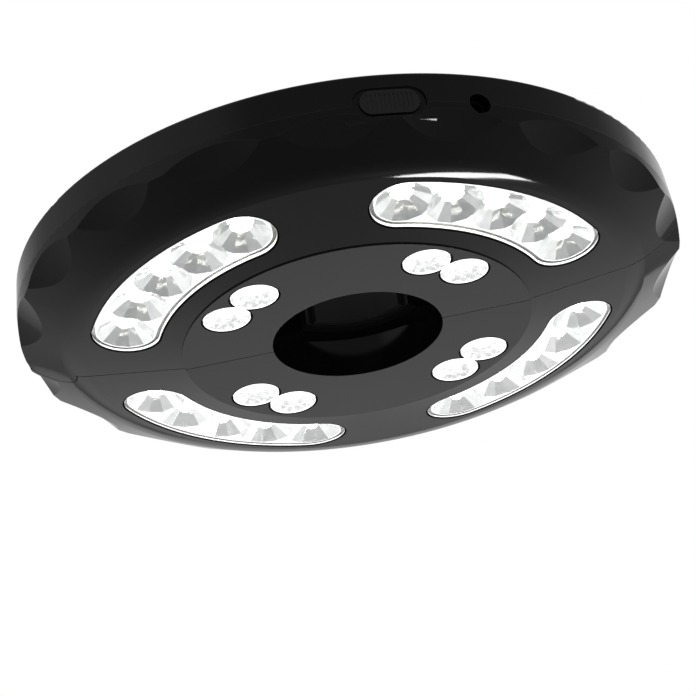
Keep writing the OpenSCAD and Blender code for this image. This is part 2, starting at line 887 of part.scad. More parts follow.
module lamp_board() {
    color(board_colour) translate([0, 0, board_z]) linear_extrude(board_t) difference() {
        circle(r = board_out_r, $fn = 180);
        circle(r = board_in_r);
        translate([-far, -3]) square([2 * far, far]);
        for (p = crown_posts) translate(p) circle(d = post_d + 0.4, $fn = 36);
        for (p = board_posts) translate(p) circle(d = 2.6, $fn = 24);
    }
}

module lamp_board_a() {
    lamp_board();
}

module lamp_board_b() {
    opposite() lamp_board();
}

// One lamp on the board's underside: a dome with a flange round its foot.
module lamp() {
    flange_t = 0.8;
    translate([0, 0, board_z - flange_t]) cylinder(d = lamp_flange_d, h = flange_t, $fn = 36);
    intersection() {
        translate([0, 0, board_z - lamp_h + lamp_d / 2]) sphere(d = lamp_d, $fn = 48);
        translate([0, 0, board_z - 2 * lamp_h]) cylinder(r = lamp_d, h = 2 * lamp_h - flange_t / 3);
    }
}

module lamps() {
    color([1, 0.96, 0.8]) for (a = [-135, -45]) {
        for (k = [0 : cup_n - 1]) at_angle(a + (k - (cup_n - 1) / 2) * cup_pitch, window_r) lamp();
        for (s = [-1, 1]) at_angle(a + s * twin_a, twin_r) lamp();
    }
}

module lamps_a() {
    lamps();
}

module lamps_b() {
    opposite() lamps();
}

// The mode and charging board, on four spacers over the lamp board.
module control_board() {
    z = board_z + board_t;
    top = control_rise + board_t - eps;
    color([0.1, 0.35, 0.2]) translate([control_low[0], control_low[1], z]) {
        translate([0, 0, control_rise]) cube([control_size[0], control_size[1], board_t]);
        for (x = [control_foot, control_size[0] - control_foot])
            for (y = [control_foot, control_size[1] - control_foot])
                translate([x, y, 0]) cylinder(d = 4, h = control_rise + eps, $fn = 24);
        translate([control_size[0] * 0.25, control_size[1] * 0.36, top]) cube([7, 6, 1.6]);
        translate([control_size[0] * 0.69, control_size[1] * 0.27, top]) cylinder(d = 6.3, h = 7, $fn = 36);
        translate([control_size[0] * 0.62, control_size[1] * 0.64, top]) cube([6, 6, 3]);
    }
}

// ---- switch and socket ---------------------------------------------------------------------

module power_button() {
    color([0.13, 0.13, 0.14]) at_angle(button_a, 0, button_z) {
        intersection() {
            translate([button_back_r, 0, 0]) stadium(button_l, button_h, 10);
            difference() {
                cylinder(r = button_tip_r, h = 30, center = true, $fn = 240);
                for (k = [0 : rib_n - 1])
                    rotate([0, 0, (k - (rib_n - 1) / 2) * 0.72])
                        translate([button_tip_r - 0.35, -0.3, -button_h / 2 + 1.2])
                            cube([2, 0.6, button_h - 2.4]);
            }
        }
        intersection() {
            translate([button_back_r, 0, 0])
                stadium(button_l + 2 * button_lip, button_h + 2 * button_lip, 6);
            cylinder(r = button_flange_r, h = 30, center = true, $fn = 240);
        }
    }
}

module switch_plunger() {
    color([0.2, 0.2, 0.2]) at_angle(button_a, button_back_r - plunger_len, button_z)
        rotate([0, 90, 0]) cylinder(r = plunger_r, h = plunger_len, $fn = 36);
}

module tact_switch() {
    color(steel_colour) at_angle(button_a, switch_r, 0) difference() {
        union() {
            block(
                [0, -switch_board_w / 2, switch_floor],
                [board_t, switch_board_w / 2, switch_floor + switch_board_h]
            );
            block([board_t - eps, -3, button_z - 3], [board_t + switch_t, 3, button_z + 3]);
        }
        translate([board_t + 0.2, 0, button_z])
            rotate([0, 90, 0]) cylinder(r = plunger_r + plunger_fit, h = 10, $fn = 36);
    }
}

module charging_socket() {
    color([0.07, 0.07, 0.07]) at_angle(jack_a) {
        difference() {
            union() {
                block(
                    [jack_back_r, -jack_half_w, jack_low_z],
                    [jack_front_r, jack_half_w, part_z + jack_half_h]
                );
                translate([jack_front_r - 1, 0, part_z]) rotate([0, 90, 0])
                    cylinder(d = jack_nose_d, h = jack_nose_r - jack_front_r + 1, $fn = 48);
            }
            translate([jack_back_r + 3.5, 0, part_z]) rotate([0, 90, 0])
                cylinder(d = jack_bore_d, h = 20, $fn = 48);
        }
        translate([jack_back_r + 3, 0, part_z])
            rotate([0, 90, 0]) cylinder(d = jack_pin_d, h = jack_front_r - jack_back_r - 3.6, $fn = 24);
    }
}

// ---- batteries ---------------------------------------------------------------------------

// One round cell along +X, with its raised end first.
module cell() {
    nub = 1.3;
    rotate([0, 90, 0]) {
        translate([0, 0, -cell_l / 2]) cylinder(d = cell_d, h = cell_l - nub, $fn = 72);
        translate([0, 0, cell_l / 2 - nub - eps]) cylinder(d = 5.4, h = nub + eps, $fn = 36);
    }
}

module cells() {
    color([0.35, 0.36, 0.38]) for (i = [0, 1])
        translate([bay_x, -cell_ys[i], cell_z]) rotate([0, 0, 180 * i]) cell();
}

module cells_a() {
    cells();
}

module cells_b() {
    opposite() cells();
}

// One cell's two contacts: a plate with a raised button and a plate with a coil.
module contacts() {
    room = contact_room - contact_t - 0.1;
    plate_x = bay_half - 0.05 - contact_t / 2;
    for (s = [-1, 1]) block(
        [s * plate_x - contact_t / 2, -contact_w / 2, bay_floor + 1],
        [s * plate_x + contact_t / 2, contact_w / 2, cell_top]);
    translate([bay_half - 0.05 - contact_t - room + 0.1, 0, cell_z]) rotate([0, 90, 0])
        cylinder(d = 5, h = room, $fn = 30);
    translate([-bay_half + contact_t, 0, cell_z]) rotate([0, 90, 0])
        coil(2.8, 0.6, 2, room);
}

module battery_contacts() {
    color(steel_colour) for (i = [0, 1])
        translate([bay_x, -cell_ys[i], 0]) rotate([0, 0, 180 * i]) contacts();
}

module battery_contacts_a() {
    battery_contacts();
}

module battery_contacts_b() {
    opposite() battery_contacts();
}

// A door with a springy thumb tab at its outer edge.
module battery_door() {
    tab_w = 12;
    tab_l = 9;
    slot = 0.9;
    low = [bay_x - bay_half - door_ledge, -bay_y - bay_depth - door_ledge];
    size = [2 * (bay_half + door_ledge), bay_depth + 2 * door_ledge];
    color(shell_colour) difference() {
        translate([low[0], low[1], door_z]) linear_extrude(door_t) square(size);
        for (s = [-1, 1]) translate([bay_x + s * (tab_w / 2 + slot / 2), low[1] + tab_l / 2 + 2, door_z])
            cube([slot, tab_l, 3 * door_t], center = true);
        for (k = [0 : 4]) translate([bay_x - tab_w / 2 + 2, low[1] + 3 + 1.6 * k, rim_z - 0.4])
            cube([tab_w - 4, 0.7, 1]);
    }
}

module battery_door_a() {
    battery_door();
}

module battery_door_b() {
    opposite() battery_door();
}

// ---- springs ---------------------------------------------------------------------------------

// A round-wire coil standing on z = 0: coil radius, wire diameter, turns and overall height.
module coil(r, wire, turns, height) {
    sides = 6;
    steps = 8 * turns;
    climb = (height - wire) / turns;
    echo(str("coil least gap ", climb - wire, " mm"));
    pts = [
        for (i = [0 : steps]) let (a = 360 * turns * i / steps, z = wire / 2 + climb * turns * i / steps)
            for (j = [0 : sides - 1]) let (b = 360 * j / sides, q = r + wire / 2 * cos(b))
                [q * cos(a), q * sin(a), z + wire / 2 * sin(b)]
    ];
    walls = [
        for (i = [0 : steps - 1], j = [0 : sides - 1]) let (n = (j + 1) % sides)
            each [
                [i * sides + j, i * sides + n, (i + 1) * sides + j],
                [i * sides + n, (i + 1) * sides + n, (i + 1) * sides + j]
            ]
    ];
    start = [for (j = [1 : sides - 2]) [0, j + 1, j]];
    finish = [for (j = [1 : sides - 2]) [steps * sides, steps * sides + j, steps * sides + j + 1]];
    polyhedron(points = pts, faces = concat(walls, start, finish));
}

module jaw_springs() {
    color(steel_colour) for (s = [-1, 1])
        translate([s * spring_x, -spring_wall + 0.05, jaw_mid_z]) rotate([-90, 0, 0])
            coil(spring_d / 2, spring_wire, spring_turns, spring_wall - jaw_back - 0.1);
}

module jaw_springs_a() {
    jaw_springs();
}

module jaw_springs_b() {
    opposite() jaw_springs();
}

// ---- pole clamp --------------------------------------------------------------------------------

module clamp_jaw() {
    seat_r = pole_r + pad_t;
    front = pole_r * cos(pad_a) - 1;
    color([0.16, 0.16, 0.17]) {
        difference() {
            translate([0, 0, jaw_z]) linear_extrude(jaw_h) difference() {
                polygon([
                    [-jaw_w / 2, -jaw_back], [jaw_w / 2, -jaw_back], [jaw_w / 2, -front - 4],
                    [jaw_w / 2 - 3, -front], [-jaw_w / 2 + 3, -front], [-jaw_w / 2, -front - 4]
                ]);
                circle(r = seat_r);
            }
            block([-4, -jaw_back - 1, jaw_z + 2], [4, -seat_r - 3, jaw_top + 1]);
        }
        for (s = [-1, 1]) translate([s * spring_x, -jaw_back - 4, jaw_mid_z])
            rotate([-90, 0, 0]) cylinder(d = spring_d - spring_wire - 1.4, h = 4.5, $fn = 36);
    }
}

module clamp_jaw_a() {
    clamp_jaw();
}

module clamp_jaw_b() {
    opposite() clamp_jaw();
}

module jaw_pad() {
    reach = 3 * pole_r;
    color([0.2, 0.2, 0.2]) translate([0, 0, jaw_z + 0.5]) linear_extrude(jaw_h - 1) intersection() {
        difference() {
            circle(r = pole_r + pad_t);
            circle(r = pole_r);
        }
        polygon([[0, 0], reach * [-sin(pad_a), -cos(pad_a)], reach * [sin(pad_a), -cos(pad_a)]]);
    }
}

module jaw_pad_a() {
    jaw_pad();
}

module jaw_pad_b() {
    opposite() jaw_pad();
}

// ---- hinge pin, catch and lead -------------------------------------------------------------------

module hinge_pin() {
    color(steel_colour) translate([hinge_x, 0, pin_z]) cylinder(d = pin_d, h = pin_len, $fn = 48);
}

// A springy arm from the far half, hooked behind the near half's seam wall.
module snap_catch() {
    barb_y = seam_y + wall + 0.35;
    color([0.8, 0.8, 0.78]) {
        translate([0, 0, catch_z]) linear_extrude(catch_h) polygon([
            [catch_x, 6], [catch_x + catch_t, 6], [catch_x + catch_t, -barb_y],
            [catch_x + catch_t + catch_hook + 0.3, -barb_y],
            [catch_x + catch_t, -barb_y - 3],
            [catch_x, -barb_y - 3]
        ]);
        translate([catch_x - 1.5, 4.4, catch_z - 0.5]) cube(catch_base);
    }
}

// The lead that joins the two lamp boards beside the hinge.
module link_cable() {
    lead_d = 2.4;
    color([0.1, 0.1, 0.1]) translate([hinge_x + 13.5, -12, board_z + board_t + lead_d / 2])
        rotate([-90, 0, 0]) cylinder(d = lead_d, h = 24, $fn = 24);
}

// ---- hanging hooks -----------------------------------------------------------------------------------

// A flat open ring on a pivot barrel, folded flat in its pocket.
module hanging_hook() {
    mouth = 3 * hook_r;
    ring_y = -hook_pivot_y + hook_reach;
    barrel_r = hook_t / 2 + 0.2;
    mouth_side = 20;
    color([0.12, 0.12, 0.13]) {
        translate([0, ring_y, hook_z - hook_t / 2]) linear_extrude(hook_t) difference() {
            circle(r = hook_r, $fn = 72);
            circle(r = hook_r - hook_bar, $fn = 60);
            polygon([
                [0, 0], mouth * [cos(mouth_side), sin(mouth_side)],
                mouth * [cos(mouth_side + hook_mouth_a), sin(mouth_side + hook_mouth_a)]
            ]);
        }
        translate([-3.2, -hook_pivot_y, hook_z - hook_t / 2])
            cube([6.4, hook_reach - hook_r + 1.2, hook_t]);
        translate([-hook_half + 0.3, -hook_pivot_y, hook_z])
            rotate([0, 90, 0]) cylinder(r = barrel_r, h = 2 * hook_half - 0.6, $fn = 36);
        translate([-hook_half - 1.8, -hook_pivot_y, hook_z])
            rotate([0, 90, 0]) cylinder(d = hook_pin_d, h = 2 * hook_half + 3.6, $fn = 36);
    }
}

module hanging_hook_a() {
    hanging_hook();
}

module hanging_hook_b() {
    opposite() hanging_hook();
}

// ---- screws ----------------------------------------------------------------------------------------

// A pan-head screw, its head just below z = 0.
module screw(head_d, head_h, shank_d, len, sunk) {
    color(steel_colour) difference() {
        union() {
            translate([0, 0, -sunk]) cylinder(d = head_d, h = head_h, $fn = 36);
            translate([0, 0, -sunk - len]) cylinder(d = shank_d, h = len + eps, $fn = 30);
        }
        for (a = [0, 90]) rotate([0, 0, a])
            translate([-head_d / 3.4, -0.35, head_h - sunk - 0.8]) cube([head_d / 1.7, 0.7, 2]);
    }
}

module case_screws() {
    reach = screw_len - 0.5;
    for (a = rim_posts) at_angle(a, rim_post_r, rim_z) screw(screw_head_d, 0.9, screw_d, reach, 1);
    for (p = crown_posts) translate([p[0], p[1], top_z]) screw(screw_head_d, 0.9, screw_d, reach, 1);
}

module case_screws_a() {
    case_screws();
}

module case_screws_b() {
    opposite() case_screws();
}

module board_screws() {
    for (p = board_posts)
        translate([p[0], p[1], board_z + board_t]) screw(4, 1.2, 1.8, board_t + 4, 0);
}

module board_screws_a() {
    board_screws();
}

module board_screws_b() {
    opposite() board_screws();
}

lower_shell_a();
lower_shell_b();
top_cover_a();
top_cover_b();
arc_lens(0);  // arc_lens_1
arc_lens(1);  // arc_lens_2
arc_lens(2);  // arc_lens_3
arc_lens(3);  // arc_lens_4
arc_reflector(0);  // arc_reflector_1
arc_reflector(1);  // arc_reflector_2
arc_reflector(2);  // arc_reflector_3
arc_reflector(3);  // arc_reflector_4
twin_lens(0);  // twin_lens_1
twin_lens(1);  // twin_lens_2
twin_lens(2);  // twin_lens_3
twin_lens(3);  // twin_lens_4
lamp_board_a();
lamp_board_b();
lamps_a();
lamps_b();
control_board();
tact_switch();
switch_plunger();
power_button();
charging_socket();
cells_a();
cells_b();
battery_contacts_a();
battery_contacts_b();
battery_door_a();
battery_door_b();
clamp_jaw_a();
clamp_jaw_b();
jaw_pad_a();
jaw_pad_b();
jaw_springs_a();
jaw_springs_b();
hinge_pin();
snap_catch();
link_cable();
hanging_hook_a();
hanging_hook_b();
case_screws_a();
case_screws_b();
board_screws_a();
board_screws_b();
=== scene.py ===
import math

import bmesh
import bpy
from mathutils import Matrix, Vector


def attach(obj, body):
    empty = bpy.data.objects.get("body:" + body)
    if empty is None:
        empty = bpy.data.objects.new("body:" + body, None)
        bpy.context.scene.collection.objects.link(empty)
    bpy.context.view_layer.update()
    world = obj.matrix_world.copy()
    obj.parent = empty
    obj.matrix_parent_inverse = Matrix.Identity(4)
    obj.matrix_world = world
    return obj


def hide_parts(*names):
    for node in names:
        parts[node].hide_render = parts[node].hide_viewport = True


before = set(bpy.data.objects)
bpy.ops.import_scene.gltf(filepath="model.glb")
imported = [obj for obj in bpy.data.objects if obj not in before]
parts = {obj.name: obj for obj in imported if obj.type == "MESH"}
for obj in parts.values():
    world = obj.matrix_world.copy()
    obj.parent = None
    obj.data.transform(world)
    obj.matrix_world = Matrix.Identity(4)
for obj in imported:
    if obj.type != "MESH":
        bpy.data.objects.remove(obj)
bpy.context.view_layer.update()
scene = bpy.context.scene

# ---- Studio ------------------------------------------------------------------------------------
# The lamp hangs over a pale floor and is looked at from below, a little to the right.
# The room is bright behind it and dim in front, with a small softbox low behind it.

scene.view_settings.view_transform = "Standard"

camera_azimuth = math.radians(3.65)
camera_elevation = math.radians(-27.77)
camera_roll = math.radians(-9.77)
camera_distance = 1.078

toward_camera = Vector((
    math.sin(camera_azimuth) * math.cos(camera_elevation),
    -math.cos(camera_azimuth) * math.cos(camera_elevation),
    math.sin(camera_elevation),
))
level_right = (-toward_camera).cross(Vector((0, 0, 1))).normalized()
level_up = level_right.cross(-toward_camera)
picture_right = level_right * math.cos(camera_roll) + level_up * math.sin(camera_roll)
picture_up = level_up * math.cos(camera_roll) - level_right * math.sin(camera_roll)

camera_data = bpy.data.cameras.new("camera")
camera_data.lens = 176.13
camera_data.sensor_width = 36
camera_data.shift_x = -0.01422
camera_data.shift_y = -0.0190
camera_data.clip_start = 0.05
camera = bpy.data.objects.new("camera", camera_data)
camera.matrix_world = Matrix.Translation(toward_camera * camera_distance) @ Matrix(
    (picture_right, picture_up, toward_camera)
).transposed().to_4x4()
scene.collection.objects.link(camera)
scene.camera = camera


def new_node(tree, kind, **settings):
    """Adds a shader node; a setting named by a capital letter goes to an input socket."""
    node = tree.nodes.new(kind)
    for name, value in settings.items():
        if name[0].isupper():
            node.inputs[name.replace("_", " ")].default_value = value
        else:
            setattr(node, name, value)
    return node


def chain(tree, *steps):
    """Links sockets in pairs: (output, input), (output, input) ..."""
    for out, into in steps:
        tree.links.new(out, into)


def math_step(tree, operation, *values):
    """A maths node fed by sockets and numbers; returns its output."""
    node = new_node(tree, "ShaderNodeMath", operation=operation)
    for i, value in enumerate(values):
        if isinstance(value, (int, float)):
            node.inputs[i].default_value = value
        else:
            tree.links.new(value, node.inputs[i])
    return node.outputs[0]


def place_light(name, place, aim, width, height, watts):
    """A flat softbox at a place, turned towards a point."""
    data = bpy.data.lights.new(name, "AREA")
    data.shape = "RECTANGLE"
    data.size = width
    data.size_y = height
    data.energy = watts
    lamp = bpy.data.objects.new(name, data)
    lamp.location = place
    lamp.rotation_euler = (Vector(aim) - Vector(place)).to_track_quat("-Z", "Y").to_euler()
    lamp.visible_camera = False
    scene.collection.objects.link(lamp)
    return lamp


floor_z = -0.75
floor_half = 6

place_light("softbox_low", (0.19, 0.45, -0.70), (0.06, -0.07, 0), 0.25, 0.085, 1.9)
floor_light = place_light("floor_light", (-0.1, 2.3, 0.7), (-0.1, 2.0, floor_z), 1.2, 2.4, 30)
floor_light.visible_glossy = False

floor_mesh = bpy.data.meshes.new("floor")
floor_mesh.from_pydata(
    [(x * floor_half, y * floor_half, floor_z) for x, y in ((-1, -1), (1, -1), (1, 1), (-1, 1))],
    [],
    [(0, 1, 2, 3)],
)
floor = bpy.data.objects.new("floor", floor_mesh)
scene.collection.objects.link(floor)
floor_paint = bpy.data.materials.new("floor_paint")
floor_paint.use_nodes = True
floor_mesh.materials.append(floor_paint)
floor_tree = floor_paint.node_tree
floor_shader = floor_tree.nodes["Principled BSDF"]
floor_shader.inputs["Roughness"].default_value = 0.9
floor_shader.inputs["Emission Color"].default_value = (1, 1, 1, 1)

# The floor is painted greyer under the object, a painted shade that keeps what the object mirrors of it
# dark, and the camera sees it filled up to white.
floor_place = new_node(floor_tree, "ShaderNodeTexCoord")
floor_reach = new_node(floor_tree, "ShaderNodeVectorMath", operation="LENGTH")
# Painted shade: the floor's colour is grey under the object and pale further out.
floor_painted_shade = new_node(
    floor_tree, "ShaderNodeMapRange", interpolation_type="SMOOTHSTEP",
    From_Min=0.55, From_Max=1.4, To_Min=0.22, To_Max=0.78,
)
floor_far = new_node(
    floor_tree, "ShaderNodeMapRange", interpolation_type="SMOOTHSTEP",
    From_Min=0.6, From_Max=1.5, To_Max=0.8,
)
floor_rays = new_node(floor_tree, "ShaderNodeLightPath")
floor_fill = math_step(floor_tree, "SUBTRACT", 1.35, floor_painted_shade.outputs["Result"])
floor_seen = math_step(floor_tree, "MULTIPLY", floor_rays.outputs["Is Camera Ray"], floor_fill)
floor_glow = math_step(
    floor_tree, "MULTIPLY_ADD",
    floor_rays.outputs["Is Transmission Ray"], floor_far.outputs["Result"], floor_seen,
)
chain(
    floor_tree,
    (floor_place.outputs["Object"], floor_reach.inputs[0]),
    (floor_reach.outputs["Value"], floor_painted_shade.inputs["Value"]),
    (floor_reach.outputs["Value"], floor_far.inputs["Value"]),
    (floor_painted_shade.outputs["Result"], floor_shader.inputs["Base Color"]),
    (floor_glow, floor_shader.inputs["Emission Strength"]),
)

room = bpy.data.worlds.new("room")
room.use_nodes = True
scene.world = room
room_tree = room.node_tree
room_tree.nodes.clear()
room_direction = new_node(room_tree, "ShaderNodeTexCoord")
room_axes = new_node(room_tree, "ShaderNodeSeparateXYZ")
room_turn = math_step(room_tree, "ARCTAN2", room_axes.outputs["Y"], room_axes.outputs["X"])
room_share = new_node(room_tree, "ShaderNodeMapRange", From_Min=-math.pi, From_Max=math.pi)

# How bright the room's walls are, by compass angle in degrees.
wall_stops = [
    (-180, 0.40), (-160, 0.50), (-130, 0.46), (-108, 0.24), (25, 0.24), (42, 0.36), (54, 0.60),
    (66, 0.82), (80, 0.78), (100, 0.62), (114, 0.50), (128, 0.40), (145, 0.30), (180, 0.40),
]
room_walls = new_node(room_tree, "ShaderNodeValToRGB")
room_walls.color_ramp.interpolation = "EASE"
for wall_angle, level in wall_stops:
    if wall_angle == -180:
        stop = room_walls.color_ramp.elements[0]
    elif wall_angle == 180:
        stop = room_walls.color_ramp.elements[-1]
    else:
        stop = room_walls.color_ramp.elements.new((wall_angle + 180) / 360)
    stop.color = (level, level, level, 1)

room_low = new_node(
    room_tree, "ShaderNodeMapRange", interpolation_type="SMOOTHSTEP",
    From_Min=0.16, From_Max=0.0, To_Min=1.0, To_Max=1.25,
)
room_lit = new_node(room_tree, "ShaderNodeBackground")
room_white = new_node(room_tree, "ShaderNodeBackground", Color=(1, 1, 1, 1))
room_rays = new_node(room_tree, "ShaderNodeLightPath")
room_seen = math_step(
    room_tree, "MAXIMUM",
    room_rays.outputs["Is Camera Ray"], room_rays.outputs["Is Transmission Ray"],
)
room_mix = new_node(room_tree, "ShaderNodeMixShader")
room_out = new_node(room_tree, "ShaderNodeOutputWorld")
chain(
    room_tree,
    (room_direction.outputs["Generated"], room_axes.inputs[0]),
    (room_turn, room_share.inputs["Value"]),
    (room_share.outputs["Result"], room_walls.inputs["Fac"]),
    (room_walls.outputs["Color"], room_lit.inputs["Color"]),
    (room_axes.outputs["Z"], room_low.inputs["Value"]),
    (room_low.outputs["Result"], room_lit.inputs["Strength"]),
    (room_seen, room_mix.inputs[0]),
    (room_lit.outputs[0], room_mix.inputs[1]),
    (room_white.outputs[0], room_mix.inputs[2]),
    (room_mix.outputs[0], room_out.inputs["Surface"]),
)

# ---- Lower shells ------------------------------------------------------------------------------
# Two injection-moulded half bowls in polished black plastic: flat hub, shallow cone,
# rounded shoulder and scalloped rim. The windows and the clamp's slot are open in the mould.


def new_group(name, inputs, outputs):
    """An empty node group with typed inputs (name, kind, value) and outputs (name, kind)."""
    group = bpy.data.node_groups.new(name, "ShaderNodeTree")
    for label, kind, value in inputs:
        socket = group.interface.new_socket(label, in_out="INPUT", socket_type=kind)
        socket.default_value = value
    for label, kind in outputs:
        group.interface.new_socket(label, in_out="OUTPUT", socket_type=kind)
    return group, group.nodes.new("NodeGroupInput"), group.nodes.new("NodeGroupOutput")


# Moulded plastic: soft flow marks, fine grain, a little dust, and a painted highlight that lightens the
# rounded edges.
moulded, moulded_in, moulded_out = new_group(
    "moulded_plastic",
    [
        ("Colour", "NodeSocketColor", (0.01, 0.01, 0.01, 1)),
        ("Edge Colour", "NodeSocketColor", (0.05, 0.05, 0.05, 1)),
        ("Roughness", "NodeSocketFloat", 0.2),
        ("Grain Size", "NodeSocketFloat", 900.0),
        ("Grain Depth", "NodeSocketFloat", 0.05),
        ("Flow Depth", "NodeSocketFloat", 0.05),
        ("Dust", "NodeSocketFloat", 0.3),
    ],
    [("Colour", "NodeSocketColor"), ("Roughness", "NodeSocketFloat"), ("Normal", "NodeSocketVector")],
)
place = new_node(moulded, "ShaderNodeTexCoord")
flow = new_node(moulded, "ShaderNodeTexNoise", Scale=45.0, Detail=2.0, Roughness=0.4)
grain = new_node(moulded, "ShaderNodeTexNoise", Detail=3.0, Roughness=0.55)
specks = new_node(moulded, "ShaderNodeTexVoronoi", Scale=260.0)
speck_mask = new_node(moulded, "ShaderNodeMapRange", From_Min=0.09, From_Max=0.05)
speck_some = math_step(moulded, "GREATER_THAN", specks.outputs["Color"], 0.93)
speck_level = math_step(
    moulded, "MULTIPLY",
    math_step(moulded, "MULTIPLY", speck_mask.outputs[0], speck_some), moulded_in.outputs["Dust"],
)
soft_edge = new_node(moulded, "ShaderNodeBevel", samples=6, Radius=0.0002)
flat_normal = new_node(moulded, "ShaderNodeNewGeometry")
edge_angle = new_node(moulded, "ShaderNodeVectorMath", operation="DOT_PRODUCT")
edge_mask = new_node(moulded, "ShaderNodeMapRange", From_Min=0.995, From_Max=0.86)
# Painted highlight: the lighter Edge Colour is mixed in along the rounded edges.
painted_edge_highlight = new_node(moulded, "ShaderNodeMix", data_type="RGBA")
dusted = new_node(moulded, "ShaderNodeMix", data_type="RGBA", B=(0.16, 0.155, 0.15, 1))
rough_flow = new_node(
    moulded, "ShaderNodeMapRange", From_Min=0.3, From_Max=0.7, To_Min=0.8, To_Max=1.25
)
rough_value = math_step(moulded, "MULTIPLY", rough_flow.outputs[0], moulded_in.outputs["Roughness"])
rough_edge = math_step(moulded, "MULTIPLY_ADD", edge_mask.outputs[0], 0.12, rough_value)
flow_bump = new_node(moulded, "ShaderNodeBump", Distance=0.002)
grain_bump = new_node(moulded, "ShaderNodeBump", Distance=0.0002)
chain(
    moulded,
    (place.outputs["Object"], flow.inputs["Vector"]),
    (place.outputs["Object"], grain.inputs["Vector"]),
    (place.outputs["Object"], specks.inputs["Vector"]),
    (moulded_in.outputs["Grain Size"], grain.inputs["Scale"]),
    (specks.outputs["Distance"], speck_mask.inputs["Value"]),
    (soft_edge.outputs["Normal"], edge_angle.inputs[0]),
    (flat_normal.outputs["Normal"], edge_angle.inputs[1]),
    (edge_angle.outputs["Value"], edge_mask.inputs["Value"]),
    (edge_mask.outputs[0], painted_edge_highlight.inputs["Factor"]),
    (moulded_in.outputs["Colour"], painted_edge_highlight.inputs["A"]),
    (moulded_in.outputs["Edge Colour"], painted_edge_highlight.inputs["B"]),
    (speck_level, dusted.inputs["Factor"]),
    (painted_edge_highlight.outputs["Result"], dusted.inputs["A"]),
    (dusted.outputs["Result"], moulded_out.inputs["Colour"]),
    (flow.outputs["Fac"], rough_flow.inputs["Value"]),
    (rough_edge, moulded_out.inputs["Roughness"]),
    (soft_edge.outputs["Normal"], flow_bump.inputs["Normal"]),
    (flow.outputs["Fac"], flow_bump.inputs["Height"]),
    (moulded_in.outputs["Flow Depth"], flow_bump.inputs["Strength"]),
    (flow_bump.outputs["Normal"], grain_bump.inputs["Normal"]),
    (grain.outputs["Fac"], grain_bump.inputs["Height"]),
    (moulded_in.outputs["Grain Depth"], grain_bump.inputs["Strength"]),
    (grain_bump.outputs["Normal"], moulded_out.inputs["Normal"]),
)


def principled(name, **settings):
    """A new material; returns it, its tree and its Principled BSDF with the given sockets set."""
    material = bpy.data.materials.new(name)
    material.use_nodes = True
    shader = material.node_tree.nodes["Principled BSDF"]
    for label, value in settings.items():
        shader.inputs[label.replace("_", " ")].default_value = value
    return material, material.node_tree, shader


def plastic(
    name, colour, edge, roughness,
    grain_size=900.0, grain_depth=0.05, flow_depth=0.05, dust=0.3, **settings
):
    """A material of moulded plastic."""
    material, tree, shader = principled(name, **settings)
    surface = tree.nodes.new("ShaderNodeGroup")
    surface.node_tree = moulded
    surface.inputs["Colour"].default_value = (*colour, 1)
    surface.inputs["Edge Colour"].default_value = (*edge, 1)
    surface.inputs["Roughness"].default_value = roughness
    surface.inputs["Grain Size"].default_value = grain_size
    surface.inputs["Grain Depth"].default_value = grain_depth
    surface.inputs["Flow Depth"].default_value = flow_depth
    surface.inputs["Dust"].default_value = dust
    chain(
        tree,
        (surface.outputs["Colour"], shader.inputs["Base Color"]),
        (surface.outputs["Roughness"], shader.inputs["Roughness"]),
        (surface.outputs["Normal"], shader.inputs["Normal"]),
    )
    return material


def dress(material, *names):
    """Gives CAD nodes a material in all their slots."""
    for name in names:
        data = parts[name].data
        if not data.materials:
            data.materials.append(material)
        for slot in parts[name].material_slots:
            slot.material = material


polished_black = plastic(
    "polished_black", (0.004, 0.004, 0.0043), (0.03, 0.03, 0.031), 0.07,
    grain_depth=0.012, flow_depth=0.012, dust=0.2, IOR=1.36,
)

window_r = 0.074  # radius of the windows' middle line
window_half = 0.01075  # half a window's width
window_end = math.radians(25.4)  # from a window's middle to the centre of its round end
twin_r = 0.0463  # radius on which the twin lenses lie
twin_turn = math.radians(9.28)  # half the angle between the two lenses of a pair
twin_half = 0.00775  # radius of a twin lens's opening
shell_tree = polished_black.node_tree


def shell_step(operation, *values):
    """A maths node in the shells' material."""
    return math_step(shell_tree, operation, *values)


def length_of(along, across):
    """Length of the line with these two legs."""
    along_squared = shell_step("MULTIPLY", along, along)
    across_squared = shell_step("MULTIPLY", across, across)
    return shell_step("SQRT", shell_step("ADD", along_squared, across_squared))


# Painted shade: round the openings the shells' reflection is turned off in a dark line about 0.4 mm
# wide, standing in for the shade in the groove at their sharp edges.
rim_place = new_node(shell_tree, "ShaderNodeTexCoord")
rim_axes = new_node(shell_tree, "ShaderNodeSeparateXYZ")
shell_tree.links.new(rim_place.outputs["Object"], rim_axes.inputs[0])
rim_x = shell_step("ABSOLUTE", rim_axes.outputs["X"])
rim_y = shell_step("ABSOLUTE", rim_axes.outputs["Y"])
rim_r = length_of(rim_x, rim_y)
rim_turn = shell_step(
    "ABSOLUTE", shell_step("SUBTRACT", shell_step("ARCTAN2", rim_y, rim_x), math.pi / 4)
)
rim_u = shell_step("MULTIPLY", rim_r, shell_step("COSINE", rim_turn))
rim_v = shell_step("MULTIPLY", rim_r, shell_step("SINE", rim_turn))


def reach_from(radius, angle):
    """Distance from a point given in polar terms from a window's middle line."""
    return length_of(
        shell_step("SUBTRACT", rim_u, radius * math.cos(angle)),
        shell_step("SUBTRACT", rim_v, radius * math.sin(angle)),
    )


